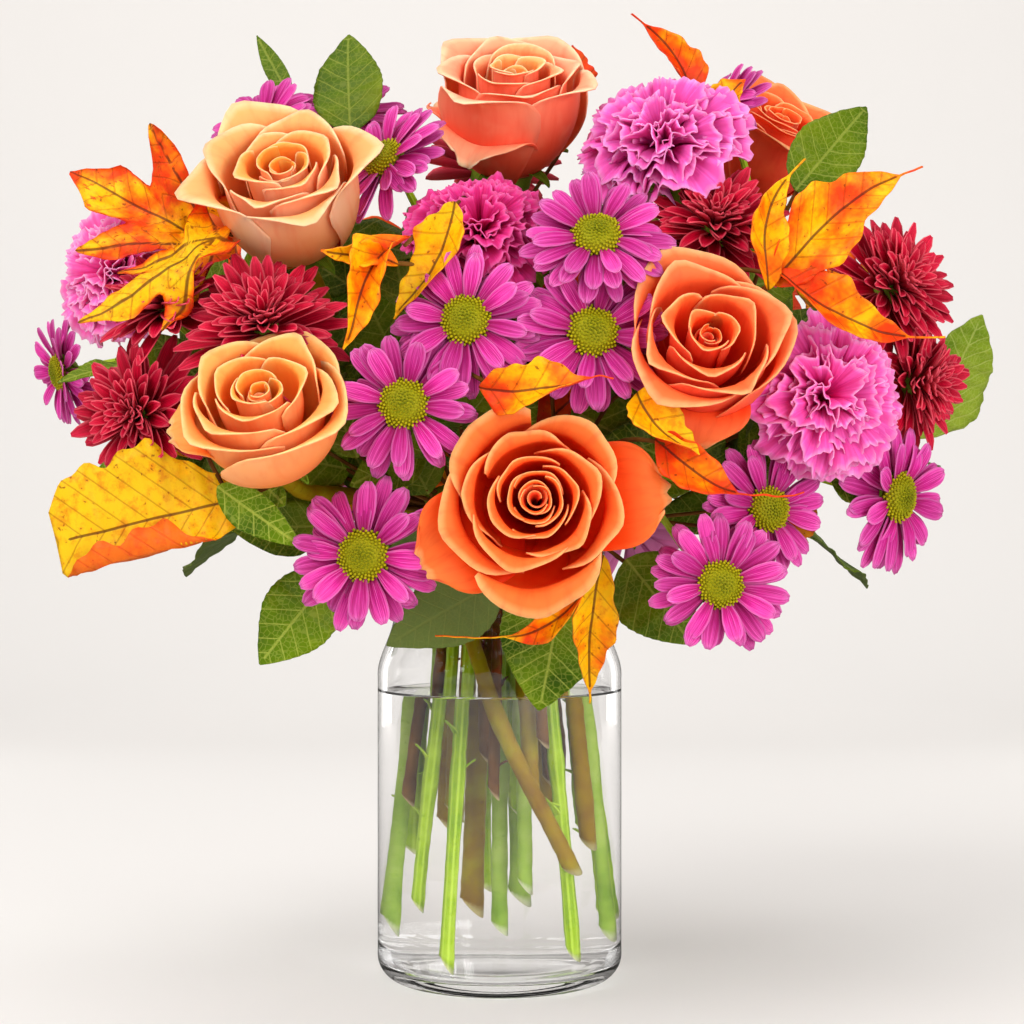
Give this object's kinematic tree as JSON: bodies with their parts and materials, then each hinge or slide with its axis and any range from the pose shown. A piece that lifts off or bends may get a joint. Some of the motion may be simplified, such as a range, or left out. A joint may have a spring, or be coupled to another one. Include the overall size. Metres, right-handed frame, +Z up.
{
  "type": "mixed autumn bouquet in a glass jar",
  "caption": "Chrysanthemums, roses, carnations, autumn leaves and salal leaves standing in a clear wide-mouthed glass jar of water.",
  "frame": {"origin": "middle of the jar's base, on the surface it stands on", "axes": "+Z up along the jar's axis; -Y is the bouquet's front; +X is to the right seen from the front"},
  "size_m": [0.3889, 0.3049, 0.3833],
  "materials": {
    "jar_glass": "gloss",
    "water": "gloss",
    "rose_petals": "satin",
    "rose_stems": "satin",
    "carnation_petals": "matte",
    "carnation_stems": "matte",
    "daisy_petals": "matte",
    "mum_stems": "satin",
    "burgundy_petals": "satin",
    "autumn_leaves": "satin",
    "salal_leaves": "satin"
  },
  "bodies": {
    "root": {"autumn_branch_1": "autumn_leaves", "autumn_branch_2": "autumn_leaves", "autumn_branch_3": "autumn_leaves", "autumn_branch_4": "autumn_leaves", "back_burgundy_spray": "burgundy_petals", "back_daisy_spray": "daisy_petals", "burgundy_mum_bloom_1": "burgundy_petals", "burgundy_mum_bloom_2": "burgundy_petals", "burgundy_mum_bloom_3": "burgundy_petals", "burgundy_mum_bloom_4": "burgundy_petals", "burgundy_mum_bloom_5": "burgundy_petals", "burgundy_mum_bloom_6": "burgundy_petals", "burgundy_mum_spray_1": "mum_stems", "burgundy_mum_spray_2": "mum_stems", "carnation_bloom_1": "carnation_petals", "carnation_bloom_2": "carnation_petals", "carnation_bloom_3": "carnation_petals", "carnation_bloom_4": "carnation_petals", "carnation_bloom_5": "carnation_petals", "carnation_stem_1": "carnation_stems", "carnation_stem_2": "carnation_stems", "carnation_stem_3": "carnation_stems", "carnation_stem_4": "carnation_stems", "carnation_stem_5": "carnation_stems", "daisy_bloom_1": "daisy_petals", "daisy_bloom_10": "daisy_petals", "daisy_bloom_11": "daisy_petals", "daisy_bloom_12": "daisy_petals", "daisy_bloom_13": "daisy_petals", "daisy_bloom_2": "daisy_petals", "daisy_bloom_3": "daisy_petals", "daisy_bloom_4": "daisy_petals", "daisy_bloom_5": "daisy_petals", "daisy_bloom_6": "daisy_petals", "daisy_bloom_7": "daisy_petals", "daisy_bloom_8": "daisy_petals", "daisy_bloom_9": "daisy_petals", "daisy_spray_1": "mum_stems", "daisy_spray_2": "mum_stems", "daisy_spray_3": "mum_stems", "daisy_spray_4": "mum_stems", "jar": "jar_glass", "rose_bloom_1": "rose_petals", "rose_bloom_2": "rose_petals", "rose_bloom_3": "rose_petals", "rose_bloom_4": "rose_petals", "rose_bloom_5": "rose_petals", "rose_bloom_6": "rose_petals", "rose_bloom_7": "rose_petals", "rose_stem_1": "rose_stems", "rose_stem_2": "rose_stems", "rose_stem_3": "rose_stems", "rose_stem_4": "rose_stems", "rose_stem_5": "rose_stems", "rose_stem_6": "rose_stems", "rose_stem_7": "rose_stems", "salal_branch_1": "salal_leaves", "salal_branch_2": "salal_leaves", "salal_branch_3": "salal_leaves", "water": "water"}
  },
  "joints": []
}
